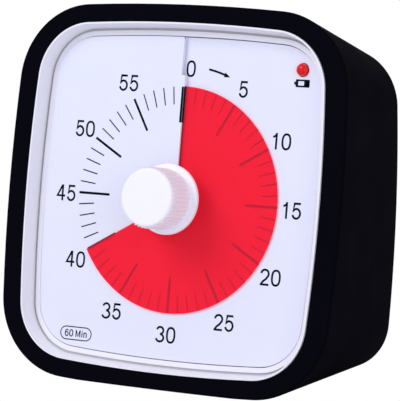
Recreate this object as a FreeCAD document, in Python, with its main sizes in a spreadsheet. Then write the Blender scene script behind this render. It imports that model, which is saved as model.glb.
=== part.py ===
import FreeCAD, Part
import math
import os
import re
from FreeCAD import Placement, Rotation, Vector

doc = FreeCAD.newDocument("countdown_timer")
sheet = doc.addObject("Spreadsheet::Sheet", "Sizes")

# Every size in millimetres or degrees. "face" levels count outward from the middle of the dial surface.
SIZES = (
    # the leaning body and its drafted sides
    ("lean", 8.0),
    ("draft", 8.0),
    ("half_w", 47.35),
    ("half_h", 47.9),
    ("outline_up", 0.37),
    ("side_radius", 488.0),
    ("corner_radius", 20.2),
    ("lip_level", 4.0),
    ("axis_depth", 42.6),
    ("foot_flat", 0.5),
    # the soft cover
    ("cover_wall", 2.2),
    ("cover_gap", 0.2),
    ("cover_edge", 0.5),
    ("cover_back_edge", 1.5),
    ("cover_back_lip", 4.4),
    # the window in the front of the cover, and what follows its outline inward
    ("lip_side", 5.65),
    ("lip_top", 4.45),
    ("window_radius", 405.0),
    ("window_corner", 14.8),
    # the white front frame
    ("rim_level", 4.4),
    ("rim_gap", 0.15),
    ("rim_land", 0.45),
    ("rim_slope", 10.0),
    ("groove_inset", 1.38),
    ("groove_width", 0.5),
    ("groove_depth", 0.4),
    ("shelf_inset", 3.38),
    ("shelf_thick", 2.3),
    ("frame_back", -6.0),
    ("shell_wall", 1.8),
    ("shell_gap", 0.1),
    # the clear lens
    ("lens_level", 4.1),
    ("lens_thick", 1.2),
    ("lens_inset", 0.95),
    ("lens_hole_r", 4.3),
    # the spiral dial and the spiral disc share one pitch
    ("dial_thick", 0.5),
    ("disc_thick", 0.2),
    ("film_gap", 0.3),
    ("dial_gap", 0.2),
    ("dial_hole_r", 6.0),
    ("slot_reach", 31.0),
    ("slot_jog", 1.0),
    ("riser_thick", 0.5),
    ("disc_r", 28.2),
    ("disc_hub_gap", 0.05),
    ("disc_span", 358.0),
    ("minutes_shown", 40.0),
    ("minutes_round", 60.0),
    ("hub_r", 5.6),
    ("hub_bore", 3.85),
    ("hub_up", 0.85),
    ("hub_down", 0.9),
    # the knob and its stem
    ("knob_bottom", 4.4),
    ("flange_r", 8.8),
    ("flange_thick", 1.0),
    ("collar_r", 7.35),
    ("cap_level", 14.9),
    ("cap_round", 0.7),
    ("grip_r", 7.2),
    ("rib_height", 0.35),
    ("rib_width", 0.7),
    ("rib_start", 6.5),
    ("rib_end", 14.2),
    ("rib_count", 46),
    ("stem_r", 3.5),
    ("stem_end", -2.0),
    ("shaft_r", 2.2),
    ("shaft_end", -8.8),
    # the chassis plate and the movement case behind it
    ("chassis_thick", 1.5),
    ("chassis_gap", 0.2),
    ("chassis_screw_in", 1.95),
    ("chassis_screw_z", 12.0),
    ("case_left", -27.0),
    ("case_right", 18.5),
    ("case_low", -17.5),
    ("case_high", 34.5),
    ("case_depth", 9.4),
    ("case_wall", 1.2),
    ("bearing_gap", 0.3),
    # the gear train
    ("module_mm", 0.5),
    ("tooth_out", 0.36),
    ("tooth_in", 0.55),
    ("wheel_thick", 1.2),
    ("pinion_thick", 1.8),
    ("layer_one", -4.7),
    ("layer_two", -7.1),
    ("layer_three", -9.5),
    ("output_teeth", 60),
    ("pinion_teeth", 12),
    ("second_teeth", 48),
    ("third_teeth", 40),
    ("rotor_teeth", 10),
    ("arbor_r", 0.6),
    ("arbor_hole_r", 0.9),
    ("train_angle", 135.0),
    ("third_angle", 40.0),
    ("rotor_angle", -35.0),
    ("motor_r", 8.0),
    ("motor_long", 9.0),
    # the back: levels count backward from the plane of the cover's back edge
    ("panel_wall", 2.0),

    ("block_low", -32.0),
    ("block_high", -9.6),
    ("block_depth", 20.4),

    ("door_low", -30.6),
    ("door_high", -11.2),
    ("door_thick", 1.6),
    ("door_gap", 0.35),
    ("door_grip_w", 12.0),
    ("door_grip_r", 3.4),
    ("cell_r", 7.15),
    ("cell_long", 50.0),
    ("contact_room", 3.0),
    ("door_lap", 1.8),
    ("block_wall", 2.6),
    ("cell_tip_r", 2.75),
    ("cell_tip", 1.4),
    ("plate_thick", 0.5),
    ("spring_wire", 0.45),
    ("spring_r", 3.6),
    ("spring_turns", 4),
    # the circuit board, the switch and the buzzer
    ("board_in", 20.5),
    ("board_low", 0.5),
    ("board_high", 27.0),
    ("board_thick", 1.6),
    ("board_level", -10.4),
    ("switch_x", -15.0),
    ("switch_z", 18.0),
    ("switch_half_w", 6.5),
    ("switch_half_h", 3.0),
    ("switch_travel", 3.0),
    ("nub_half_w", 2.0),
    ("nub_half_h", 1.6),
    ("nub_out", 1.2),
    ("slot_gap", 0.35),
    ("buzzer_x", 12.0),
    ("buzzer_z", 16.0),
    ("buzzer_r", 7.0),
    ("sound_hole_r", 1.0),
    ("sound_ring_r", 4.2),
    ("sound_holes", 6),
    # the indicator light
    ("led_in", 9.75),
    ("led_down", 9.68),
    ("led_r", 1.5),
    ("led_up", 0.9),
    ("led_gap", 0.2),
    ("led_board", -5.0),
    # screws
    ("screw_head_r", 1.7),
    ("screw_head", 1.2),
    ("screw_r", 0.8),
    ("screw_long", 2.6),
    ("screw_gap", 0.15),
    ("back_screw_in", 16.5),
    ("back_screw_down", 19.0),
    ("post_r", 3.4),
)
for row, (alias, value) in enumerate(SIZES, start=1):
    sheet.set("A%d" % row, alias)
    sheet.set("B%d" % row, str(value))
    sheet.setAlias("B%d" % row, alias)
doc.recompute()


def size(alias):
    return float(sheet.get(alias))


# Lengths that follow from the sizes, so that neighbours keep together.
FOLLOWING = (
    ("block_half_w", "(door_half_w + Sizes.block_wall)"),
    ("door_half_w", "(bay_half_w + Sizes.door_lap)"),
    ("bay_half_w", "(Sizes.cell_long / 2 + Sizes.contact_room)"),
    ("bay_half_h", "(Sizes.cell_r + 0.75)"),
    ("board_half_w", "(Sizes.half_w - Sizes.board_in)"),
    ("chassis_screw_x", "(window_half_w - Sizes.chassis_screw_in)"),
    ("led_x", "(window_half_w - Sizes.led_in)"),
    ("led_z", "(window_half_h - Sizes.led_down)"),
    ("back_screw_x", "(Sizes.half_w - Sizes.back_screw_in)"),
    ("back_screw_z", "(Sizes.half_h - Sizes.back_screw_down)"),
    ("window_half_w", "(Sizes.half_w - Sizes.lip_side)"),
    ("window_half_h", "(Sizes.half_h - Sizes.lip_top)"),
)


def follow(expression):
    """Write out the following lengths that an expression names."""
    for name, rule in FOLLOWING:
        expression = re.sub(r"\b%s\b" % name, rule, expression)
    return expression


def value(expression):
    found = sheet.evalExpression(follow(expression))
    return float(getattr(found, "Value", found))


def bind(obj, path, expression):
    obj.setExpression(path, follow(str(expression)))


COS = "cos(Sizes.lean * 1 deg)"
SIN = "sin(Sizes.lean * 1 deg)"
SLOPE = "tan(Sizes.draft * 1 deg)"
SHIFT_Y = "(-(Sizes.axis_depth * %s - Sizes.lip_level * %s - (Sizes.half_h - Sizes.outline_up) * %s) / 2)" % (COS, COS, SIN)
SHIFT_Z = "((Sizes.half_h - Sizes.outline_up) * %s - Sizes.lip_level * %s - Sizes.foot_flat)" % (COS, SIN)
BACK_Y = "(Sizes.axis_depth * %s + %s)" % (COS, SHIFT_Y)
BACK_Z = "(%s - Sizes.axis_depth * %s)" % (SHIFT_Z, SIN)
PITCH = "(Sizes.dial_thick + Sizes.disc_thick + 2 * Sizes.film_gap)"
SHELL_INSET = "(Sizes.cover_wall + Sizes.cover_gap)"
PANEL = "(-Sizes.cover_wall - Sizes.cover_gap)"


def on_face(obj, x="0", level="0", z="0", turn="0"):
    """Stand an object in the leaning frame of the face, at x, level (outward) and z."""
    obj.Placement = Placement(Vector(0, 0, 0), Rotation(Vector(-1, 0, 0), size("lean")))
    bind(obj, "Placement.Rotation.Angle", "Sizes.lean + %s" % turn)
    bind(obj, "Placement.Base.x", x)
    bind(obj, "Placement.Base.y", "-(%s) * %s + (%s) * %s + %s" % (level, COS, z, SIN, SHIFT_Y))
    bind(obj, "Placement.Base.z", "(%s) * %s + (%s) * %s + %s" % (level, SIN, z, COS, SHIFT_Z))
    return obj


def on_back(obj, x="0", y="0", z="0"):
    """Stand an object upright behind the body: y counts from the cover's back plane, z from the axis."""
    bind(obj, "Placement.Base.x", x)
    bind(obj, "Placement.Base.y", "%s + (%s)" % (BACK_Y, y))
    bind(obj, "Placement.Base.z", "%s + (%s)" % (BACK_Z, z))
    return obj


def origin_feature(body, role):
    for feature in body.Origin.OriginFeatures:
        if feature.Role == role:
            return feature
    return None


FAMILIES = {
    "outer": ("Sizes.half_w", "Sizes.half_h", "Sizes.side_radius", "Sizes.corner_radius"),
    "window": ("window_half_w", "window_half_h", "Sizes.window_radius", "Sizes.window_corner"),
}


def outline(body, family, inset, level):
    """Sketch a square with bowed sides and round corners, drawn inward by inset, on one level of the face."""
    wide, high, bow, corner = FAMILIES[family]
    sketch = body.newObject("Sketcher::SketchObject", body.Name + "_outline")
    sketch.AttachmentSupport = [(origin_feature(body, "XZ_Plane"), "")]
    sketch.MapMode = "FlatFace"
    bind(sketch, "AttachmentOffset.Base.y", "Sizes.outline_up")
    bind(sketch, "AttachmentOffset.Base.z", level)
    bow_r = value(bow)
    corner_r = value(corner)
    side_x = value(wide) - bow_r
    side_z = value(high) - bow_r
    reach = bow_r - corner_r
    cx = value(wide) - corner_r
    cz = value(high) - corner_r
    for _ in range(30):
        over_x = math.hypot(cx - side_x, cz) - reach
        over_z = math.hypot(cx, cz - side_z) - reach
        cx -= over_x
        cz -= over_z
    flat = math.atan2(cz, cx - side_x)
    steep = math.atan2(cz - side_z, cx)
    half_turn = math.pi
    arcs = (
        (side_x, 0, bow_r, -flat, flat),
        (cx, cz, corner_r, flat, steep),
        (0, side_z, bow_r, steep, half_turn - steep),
        (-cx, cz, corner_r, half_turn - steep, half_turn - flat),
        (-side_x, 0, bow_r, half_turn - flat, half_turn + flat),
        (-cx, -cz, corner_r, half_turn + flat, half_turn + steep),
        (0, -side_z, bow_r, half_turn + steep, 2 * half_turn - steep),
        (cx, -cz, corner_r, 2 * half_turn - steep, 2 * half_turn - flat),
    )
    for x, z, radius, start, end in arcs:
        circle = Part.Circle(Vector(x, z, 0), Vector(0, 0, 1), radius)
        sketch.addGeometry(Part.ArcOfCircle(circle, start, end), False)
    import Sketcher
    count = len(arcs)
    for index in range(count):
        sketch.addConstraint(Sketcher.Constraint("Tangent", index, 2, (index + 1) % count, 1))
    for index, axis in ((0, -1), (4, -1), (2, -2), (6, -2)):
        sketch.addConstraint(Sketcher.Constraint("PointOnObject", index, 3, axis))
    for index in range(count):
        number = sketch.addConstraint(Sketcher.Constraint("Radius", index, arcs[index][2]))
        alias = corner if index % 2 else bow
        bind(sketch, "Constraints[%d]" % number, "%s - (%s)" % (alias, inset))
    for index, kind, alias, sign in ((0, "DistanceX", wide, 1), (4, "DistanceX", wide, -1),
                                     (2, "DistanceY", high, 1), (6, "DistanceY", high, -1)):
        offset = sign * (value(alias) - bow_r)
        if offset < 0:
            number = sketch.addConstraint(Sketcher.Constraint(kind, index, 3, -1, 1, -offset))
        else:
            number = sketch.addConstraint(Sketcher.Constraint(kind, -1, 1, index, 3, offset))
        bind(sketch, "Constraints[%d]" % number, "%s - %s" % (bow, alias))
    return sketch


def prism(name, family, inset, top, bottom, taper=None):
    """A block with the bowed outline between two levels; an outer one keeps the body's draft."""
    body = doc.addObject("PartDesign::Body", name)
    if family == "outer" and taper is None:
        inset = "%s + (Sizes.lip_level - (%s)) * %s" % (inset, top, SLOPE)
        taper = "Sizes.draft"
    sketch = outline(body, family, inset, top)
    pad = body.newObject("PartDesign::Pad", name + "_pad")
    pad.Profile = sketch
    pad.Reversed = True
    bind(pad, "Length", "(%s) - (%s)" % (top, bottom))
    if taper:
        bind(pad, "TaperAngle", "-(%s)" % taper)
    doc.recompute()
    on_face(body)
    doc.recompute()
    return body


def lathe(name, points):
    """Turn a profile of (radius, level) corners round the local axis; level counts outward."""
    import Sketcher
    body = doc.addObject("PartDesign::Body", name)
    sketch = body.newObject("Sketcher::SketchObject", name + "_profile")
    sketch.AttachmentSupport = [(origin_feature(body, "XY_Plane"), "")]
    sketch.MapMode = "FlatFace"
    spots = [(value(radius), -value(level)) for radius, level in points]
    count = len(spots)
    for index in range(count):
        start = Vector(spots[index][0], spots[index][1], 0)
        end = Vector(spots[(index + 1) % count][0], spots[(index + 1) % count][1], 0)
        sketch.addGeometry(Part.LineSegment(start, end), False)
    for index in range(count):
        sketch.addConstraint(Sketcher.Constraint("Coincident", index, 2, (index + 1) % count, 1))
    for index in range(count):
        across, down = spots[index]
        radius, level = points[index]
        if radius == "0":
            sketch.addConstraint(Sketcher.Constraint("PointOnObject", index, 1, -2))
        else:
            number = sketch.addConstraint(Sketcher.Constraint("DistanceX", -1, 1, index, 1, across))
            bind(sketch, "Constraints[%d]" % number, radius)
        number = sketch.addConstraint(Sketcher.Constraint("DistanceY", -1, 1, index, 1, down))
        bind(sketch, "Constraints[%d]" % number, "-(%s)" % level)
    turn = body.newObject("PartDesign::Revolution", name + "_turn")
    turn.Profile = sketch
    turn.ReferenceAxis = (sketch, ["V_Axis"])
    turn.Angle = 360
    doc.recompute()
    return body


def block(name, x, y, z, dx, dy, dz):
    """An upright box of the back, from its low corner."""
    box = doc.addObject("Part::Box", name)
    bind(box, "Length", dx)
    bind(box, "Width", dy)
    bind(box, "Height", dz)
    return on_back(box, x, y, z)


def face_block(name, x, level, z, dx, depth, dz):
    """A box of the face frame, from its low left corner at level, going inward by depth."""
    box = doc.addObject("Part::Box", name)
    bind(box, "Length", dx)
    bind(box, "Width", depth)
    bind(box, "Height", dz)
    return on_face(box, x, level, z)


def face_rod(name, radius, x, top, z, bottom):
    """A round rod along the face axis between two levels."""
    rod = doc.addObject("Part::Cylinder", name)
    bind(rod, "Radius", radius)
    bind(rod, "Height", "(%s) - (%s)" % (top, bottom))
    return on_face(rod, x, top, z, "90")


def back_rod(name, radius, x, y, z, long):
    """An upright part's round rod along Y, going backward from y."""
    rod = doc.addObject("Part::Cylinder", name)
    bind(rod, "Radius", radius)
    bind(rod, "Height", long)
    rod.Placement = Placement(Vector(0, 0, 0), Rotation(Vector(1, 0, 0), -90))
    return on_back(rod, x, y, z)


def fuse(name, pieces):
    joined = doc.addObject("Part::MultiFuse", name)
    joined.Shapes = list(pieces)
    joined.Refine = True
    return joined


def cut(name, base, tools):
    result = doc.addObject("Part::Cut", name)
    result.Base = base
    if len(tools) == 1:
        result.Tool = tools[0]
    else:
        result.Tool = fuse(name + "_tools", tools)
    result.Refine = True
    return result


def behind(name, level):
    """Everything behind one upright plane of the back."""
    far = "2 * Sizes.half_w"
    return block(name, "-Sizes.half_w * 2", level, "-Sizes.half_h * 2", "4 * Sizes.half_w", far, "4 * Sizes.half_h")


NODES = {}


def node(label, obj):
    obj.Label = label
    NODES[label] = obj
    return obj


FAR = "-Sizes.axis_depth - 20"

# The soft cover: a drafted sleeve with a broken front edge, a front window and a lip round the back.
outer = prism("cover_outer", "outer", "0", "Sizes.lip_level", FAR)
front_names = []
pad = outer.Tip
for index, edge in enumerate(pad.Shape.Edges, start=1):
    if edge.BoundBox.YMax < pad.Shape.BoundBox.YMin + 0.01:
        front_names.append("Edge%d" % index)
edge_break = outer.newObject("PartDesign::Chamfer", "cover_front_round")
edge_break.Base = (pad, front_names)
bind(edge_break, "Size", "Sizes.cover_edge")
doc.recompute()
cover_blank = cut("cover_sharp", outer, [behind("cover_back", "0")])
doc.recompute()
back_plane = size("axis_depth") * math.cos(math.radians(size("lean"))) - (
    size("axis_depth") * math.cos(math.radians(size("lean")))
    - size("lip_level") * math.cos(math.radians(size("lean")))
    - (size("half_h") - size("outline_up")) * math.sin(math.radians(size("lean")))) / 2
round_edges = []
for index, edge in enumerate(cover_blank.Shape.Edges, start=1):
    if all(abs(vertex.Y - back_plane) < 0.01 for vertex in edge.Vertexes):
        round_edges.append((index, size("cover_back_edge"), size("cover_back_edge")))
sharp_cover = cover_blank
cover_blank = doc.addObject("Part::Chamfer", "cover_blank")
cover_blank.Base = sharp_cover
cover_blank.Edges = round_edges
doc.recompute()
cavity = cut("cover_cavity",
             prism("cavity_block", "outer", SHELL_INSET + " - Sizes.cover_gap",
                   "Sizes.lip_level - Sizes.cover_wall", FAR),
             [behind("cavity_back", "-Sizes.cover_wall")])
window = prism("cover_window", "window", "0", "Sizes.lip_level + 1", "0")
back_window = prism("cover_back_window", "outer", "Sizes.cover_wall + Sizes.cover_back_lip",
                    "-Sizes.cover_wall", FAR)
below = block("floor_cut", "-Sizes.half_w * 2", "-4 * Sizes.axis_depth", "-(%s) - Sizes.half_h" % BACK_Z,
              "4 * Sizes.half_w", "8 * Sizes.axis_depth", "Sizes.half_h")
cover = cut("cover", cover_blank, [cavity, window, back_window, below])
node("silicone_cover", cover)

# The white front frame: a raised rim in the cover's window, a sloped wall, a shelf round the dial.
frame_body = prism("frame_body", "outer", SHELL_INSET, "Sizes.lip_level - Sizes.cover_wall - Sizes.cover_gap",
                   "Sizes.frame_back")
rim = prism("frame_rim", "window", "Sizes.rim_gap", "Sizes.rim_level",
            "Sizes.lip_level - Sizes.cover_wall - Sizes.cover_gap - 0.5 * Sizes.shelf_thick")
wall_cut = prism("frame_wall_cut", "window", "Sizes.rim_gap + Sizes.rim_land", "Sizes.rim_level", "0",
                 "Sizes.rim_slope")
groove_ring = cut("groove_ring",
                  prism("groove_outer", "window", "Sizes.groove_inset", "Sizes.groove_depth / 2", "-Sizes.groove_depth"),
                  [prism("groove_inner", "window", "Sizes.groove_inset + Sizes.groove_width", "Sizes.groove_depth",
                         "-2 * Sizes.groove_depth")])
shelf_cut = prism("frame_shelf_cut", "window", "Sizes.shelf_inset - Sizes.dial_gap",
                  "Sizes.shelf_thick", "-2 * Sizes.shelf_thick")
room_cut = prism("frame_room_cut", "outer", SHELL_INSET + " + Sizes.shell_wall", "-Sizes.shelf_thick",
                 "Sizes.frame_back - 1")
node("front_bezel", cut("frame", fuse("frame_solid", [frame_body, rim]), [wall_cut, groove_ring, shelf_cut, room_cut]))

# The clear lens in the rim, with a hole for the knob's stem.
lens_blank = prism("lens_blank", "window", "Sizes.lens_inset", "Sizes.lens_level",
                   "Sizes.lens_level - Sizes.lens_thick")
lens_hole = face_rod("lens_hole", "Sizes.lens_hole_r", "0", "Sizes.lens_level + 1", "0",
                     "Sizes.lens_level - 2 * Sizes.lens_thick")
node("lens", cut("lens_plate", lens_blank, [lens_hole]))


def swept(rings):
    """A closed solid through a row of polygons that have the same number of corners."""
    faces = [Part.Face(Part.makePolygon(rings[0] + rings[0][:1])),
             Part.Face(Part.makePolygon(rings[-1] + rings[-1][:1]))]
    for near, far in zip(rings, rings[1:]):
        for index in range(len(near)):
            after = (index + 1) % len(near)
            for corners in ((near[index], near[after], far[after]), (near[index], far[after], far[index])):
                faces.append(Part.Face(Part.makePolygon([*corners, corners[0]])))
    return Part.makeSolid(Part.makeShell(faces))


def spiral(inner, outer_r, low, thick, start, span, pitch, steps):
    """A spiral ramp plate round the face axis: start and span clockwise in degrees, low is its underside
    at twelve o'clock, and it climbs outward by pitch in a turn."""
    rings = []
    for step in range(steps + 1):
        bearing = start + span * step / steps
        level = low + pitch * bearing / 360.0
        across = math.sin(math.radians(bearing))
        upward = math.cos(math.radians(bearing))
        rings.append([Vector(radius * across, -height, radius * upward)
                      for radius, height in ((inner, level), (outer_r, level), (outer_r, level + thick),
                                             (inner, level + thick))])
    return swept(rings)


def solid_feature(name, shape):
    feature = doc.addObject("Part::Feature", name)
    feature.Shape = Part.makeCompound([shape])
    return feature


pitch_mm = size("dial_thick") + size("disc_thick") + 2 * size("film_gap")
dial_low = -pitch_mm / 2 - size("dial_thick")
ramp = spiral(size("dial_hole_r"), value("window_half_h") + size("window_corner"), dial_low, size("dial_thick"),
              0.0, 360.0, pitch_mm, 72)
ramp_feature = on_face(solid_feature("dial_ramp", ramp))
dial_edge = prism("dial_edge", "window", "Sizes.shelf_inset", "%s" % PITCH, "-2 * %s" % PITCH)
dial_blank = doc.addObject("Part::Common", "dial_blank")
dial_blank.Base = ramp_feature
dial_blank.Tool = dial_edge
# beyond the slot the raised flap stops short, and a riser closes the step down to the low side
flap_cut = face_block("flap_cut", "-Sizes.slot_jog", "%s" % PITCH, "Sizes.slot_reach", "Sizes.slot_jog",
                      "%s - 0.1" % PITCH, "Sizes.half_h")
tread = face_block("dial_tread", "-Sizes.slot_jog - Sizes.riser_thick", "-%s / 2" % PITCH, "Sizes.slot_reach",
                   "Sizes.slot_jog + Sizes.riser_thick + 0.2", "Sizes.dial_thick",
                   "window_half_h - Sizes.shelf_inset - Sizes.slot_reach - Sizes.dial_gap")
riser = face_block("dial_riser", "-Sizes.slot_jog - Sizes.riser_thick",
                   "%s / 2 - Sizes.dial_thick / 2" % PITCH, "Sizes.slot_reach", "Sizes.riser_thick",
                   "%s - Sizes.dial_thick / 2 + Sizes.dial_thick / 2" % PITCH,
                   "window_half_h - Sizes.shelf_inset - Sizes.slot_reach - Sizes.dial_gap")
led_hole = face_rod("dial_led_hole", "Sizes.led_r + Sizes.led_gap", "led_x", "5", "led_z", "-5")
dial_cut = cut("dial_cut", dial_blank, [flap_cut, led_hole])
node("dial_plate", fuse("dial", [dial_cut, tread, riser]))

# The red disc: the same ramp, one film gap above the dial, wound through the slot and under the flap.
turn_now = 360.0 * size("minutes_shown") / size("minutes_round")
disc_low = -pitch_mm / 2 + size("film_gap")
disc = spiral(size("hub_r") + size("disc_hub_gap"), size("disc_r"), disc_low, size("disc_thick"),
              turn_now - size("disc_span"), size("disc_span"), pitch_mm, 120)
node("red_disc", on_face(solid_feature("disc", disc)))
hub = lathe("disc_hub_body", [("Sizes.hub_bore", "Sizes.hub_up"), ("Sizes.hub_r", "Sizes.hub_up"),
                              ("Sizes.hub_r", "-Sizes.hub_down"), ("Sizes.hub_bore", "-Sizes.hub_down")])
node("disc_hub", on_face(hub))

# The knob: a ribbed grip with a rolled cap edge over a thin flange, on a stem.
def rolled_edge(radius, level, rounding, steps):
    """Corner points of a rounded outer edge, from the face of the cap down to its side."""
    points = []
    for number in range(steps + 1):
        angle = "(%d * 90 / %d * 1 deg)" % (number, steps)
        points.append(("%s - %s * (1 - sin%s)" % (radius, rounding, angle),
                       "%s - %s * (1 - cos%s)" % (level, rounding, angle)))
    return points


FLANGE_TOP = "Sizes.knob_bottom + Sizes.flange_thick"
knob = lathe("knob_body", [("0", "Sizes.cap_level")]
             + rolled_edge("Sizes.grip_r", "Sizes.cap_level", "Sizes.cap_round", 4)
             + [("Sizes.grip_r", "Sizes.rib_start"), ("Sizes.collar_r", "Sizes.rib_start"),
                ("Sizes.collar_r", FLANGE_TOP)]
             + rolled_edge("Sizes.flange_r", FLANGE_TOP, "0.5 * Sizes.flange_thick", 3)
             + [("Sizes.flange_r", "Sizes.knob_bottom"), ("Sizes.stem_r", "Sizes.knob_bottom"),
                ("Sizes.stem_r", "Sizes.stem_end"), ("0", "Sizes.stem_end")])
import Sketcher
rib_sketch = knob.newObject("Sketcher::SketchObject", "rib_profile")
rib_sketch.AttachmentSupport = [(origin_feature(knob, "XZ_Plane"), "")]
rib_sketch.MapMode = "FlatFace"
bind(rib_sketch, "AttachmentOffset.Base.z", "Sizes.rib_start")
half_rib = size("rib_width") / 2
rib_root = size("grip_r") - size("rib_height")
rib_tip = size("grip_r") + size("rib_height")
corners = (Vector(-half_rib, rib_root, 0), Vector(half_rib, rib_root, 0), Vector(0, rib_tip, 0))
for index in range(len(corners)):
    rib_sketch.addGeometry(Part.LineSegment(corners[index], corners[(index + 1) % len(corners)]), False)
for index in range(len(corners)):
    rib_sketch.addConstraint(Sketcher.Constraint("Coincident", index, 2, (index + 1) % len(corners), 1))
rib_sketch.addConstraint(Sketcher.Constraint("Symmetric", 0, 1, 0, 2, -2))
rib_sketch.addConstraint(Sketcher.Constraint("PointOnObject", 2, 1, -2))
number = rib_sketch.addConstraint(Sketcher.Constraint("DistanceX", 0, 1, 0, 2, 2 * half_rib))
bind(rib_sketch, "Constraints[%d]" % number, "Sizes.rib_width")
number = rib_sketch.addConstraint(Sketcher.Constraint("DistanceY", -1, 1, 0, 1, rib_root))
bind(rib_sketch, "Constraints[%d]" % number, "Sizes.grip_r - Sizes.rib_height")
number = rib_sketch.addConstraint(Sketcher.Constraint("DistanceY", -1, 1, 2, 1, rib_tip))
bind(rib_sketch, "Constraints[%d]" % number, "Sizes.grip_r + Sizes.rib_height")
rib = knob.newObject("PartDesign::Pad", "rib")
rib.Profile = rib_sketch
bind(rib, "Length", "Sizes.rib_end - Sizes.rib_start")
doc.recompute()
ribs = knob.newObject("PartDesign::PolarPattern", "ribs")
ribs.Originals = [rib]
ribs.Axis = (origin_feature(knob, "Y_Axis"), [""])
ribs.Angle = 360
bind(ribs, "Occurrences", "Sizes.rib_count")
knob.Tip = ribs
doc.recompute()
node("knob", on_face(knob))

# The chassis plate behind the dial, with the bearing hole of the shaft.
chassis_blank = prism("chassis_blank", "outer", SHELL_INSET + " + Sizes.shell_wall + Sizes.chassis_gap",
                      "-Sizes.shelf_thick", "-Sizes.shelf_thick - Sizes.chassis_thick")
chassis_holes = [
    face_rod("shaft_hole", "Sizes.shaft_r + Sizes.bearing_gap", "0", "0", "0", "Sizes.frame_back"),
    face_rod("chassis_led_hole", "Sizes.led_r + Sizes.led_gap", "led_x", "0", "led_z",
             "Sizes.frame_back"),
]
for sx in (-1, 1):
    for sz in (-1, 1):
        tag = "%d%d" % (sx + 1, sz + 1)
        chassis_holes.append(face_rod("chassis_screw_hole" + tag, "Sizes.screw_r + Sizes.screw_gap",
                                      "%d * chassis_screw_x" % sx, "0", "%d * Sizes.chassis_screw_z" % sz,
                                      "Sizes.frame_back"))
node("chassis_plate", cut("chassis", chassis_blank, chassis_holes))


def wheel(name, teeth_alias, level_alias, thick_alias, phase, bore):
    """A flat toothed wheel: trapezoid teeth on the pitch circle, the first tooth at phase degrees."""
    teeth = int(size(teeth_alias))
    pitch_r = size("module_mm") * teeth / 2
    root_r = pitch_r - size("tooth_in")
    tip_r = pitch_r + size("tooth_out")
    step = 2 * math.pi / teeth
    root_share = 0.31
    tip_share = 0.12
    points = []
    for number in range(teeth):
        middle = math.radians(phase) + number * step
        for share, radius in ((-root_share, root_r), (-tip_share, tip_r), (tip_share, tip_r),
                              (root_share, root_r)):
            angle = middle + share * step
            points.append(Vector(radius * math.cos(angle), 0, radius * math.sin(angle)))
    points.append(points[0])
    shape = Part.Face(Part.makePolygon(points)).extrude(Vector(0, size(thick_alias), 0))
    if bore > 0:
        shape = shape.cut(Part.makeCylinder(bore, 3 * size(thick_alias), Vector(0, -size(thick_alias), 0),
                                            Vector(0, 1, 0)))
    shape.translate(Vector(0, -size(level_alias), 0))
    return shape


turn_one = size("train_angle")
turn_two = size("third_angle")
turn_three = size("rotor_angle")
half_pinion = 180.0 / size("pinion_teeth")
half_rotor = 180.0 / size("rotor_teeth")


def arbor(radius, top, bottom):
    return Part.makeCylinder(radius, top - bottom, Vector(0, -top, 0), Vector(0, 1, 0))


chassis_back = -size("shelf_thick") - size("chassis_thick")
case_floor = chassis_back - size("case_depth")
arbor_top = chassis_back - size("bearing_gap")
arbor_low = case_floor + size("bearing_gap")


def mesh_step(axis, first, second, angle):
    """How far along x (cos) or z (sin) one meshed wheel's centre lies from the other's."""
    return "(Sizes.module_mm / 2 * (Sizes.%s + Sizes.%s) * %s(Sizes.%s * 1 deg))" % (first, second, axis, angle)


SECOND_X = mesh_step("cos", "output_teeth", "pinion_teeth", "train_angle")
SECOND_Z = mesh_step("sin", "output_teeth", "pinion_teeth", "train_angle")
THIRD_X = "(%s + %s)" % (SECOND_X, mesh_step("cos", "second_teeth", "pinion_teeth", "third_angle"))
THIRD_Z = "(%s + %s)" % (SECOND_Z, mesh_step("sin", "second_teeth", "pinion_teeth", "third_angle"))
ROTOR_X = "(%s + %s)" % (THIRD_X, mesh_step("cos", "third_teeth", "rotor_teeth", "rotor_angle"))
ROTOR_Z = "(%s + %s)" % (THIRD_Z, mesh_step("sin", "third_teeth", "rotor_teeth", "rotor_angle"))

# The train: the output wheel on the knob's shaft, two stepped wheels and the rotor's pinion.
output = wheel("output", "output_teeth", "layer_one", "wheel_thick", turn_one, size("shaft_r"))
node("output_wheel", on_face(solid_feature("output", output)))
second = wheel("second_pinion", "pinion_teeth", "layer_one", "pinion_thick", turn_one + 180 + half_pinion, 0)
second = second.fuse(wheel("second_wheel", "second_teeth", "layer_two", "wheel_thick", turn_two, 0))
second = second.fuse(arbor(size("arbor_r"), arbor_top, arbor_low))
node("second_wheel", on_face(solid_feature("second", second), SECOND_X, "0", SECOND_Z))
third = wheel("third_pinion", "pinion_teeth", "layer_two", "pinion_thick", turn_two + 180 + half_pinion, 0)
third = third.fuse(wheel("third_wheel", "third_teeth", "layer_three", "wheel_thick", turn_three, 0))
third = third.fuse(arbor(size("arbor_r"), arbor_top, arbor_low))
node("third_wheel", on_face(solid_feature("third", third), THIRD_X, "0", THIRD_Z))
rotor = wheel("rotor", "rotor_teeth", "layer_three", "pinion_thick", turn_three + 180 + half_rotor, 0)
rotor_low = case_floor - size("case_wall") - size("bearing_gap")
rotor = rotor.fuse(arbor(size("arbor_r"), arbor_top, rotor_low))
node("rotor_pinion", on_face(solid_feature("rotor", rotor), ROTOR_X, "0", ROTOR_Z))

# The output shaft, seated in the stem's foot and carrying the output wheel.
shaft = lathe("shaft_body", [("0", "Sizes.stem_end - 0.02"), ("Sizes.shaft_r - 0.02", "Sizes.stem_end - 0.02"),
                             ("Sizes.shaft_r - 0.02", "Sizes.shaft_end"), ("0", "Sizes.shaft_end")])
node("output_shaft", on_face(shaft))

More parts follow.
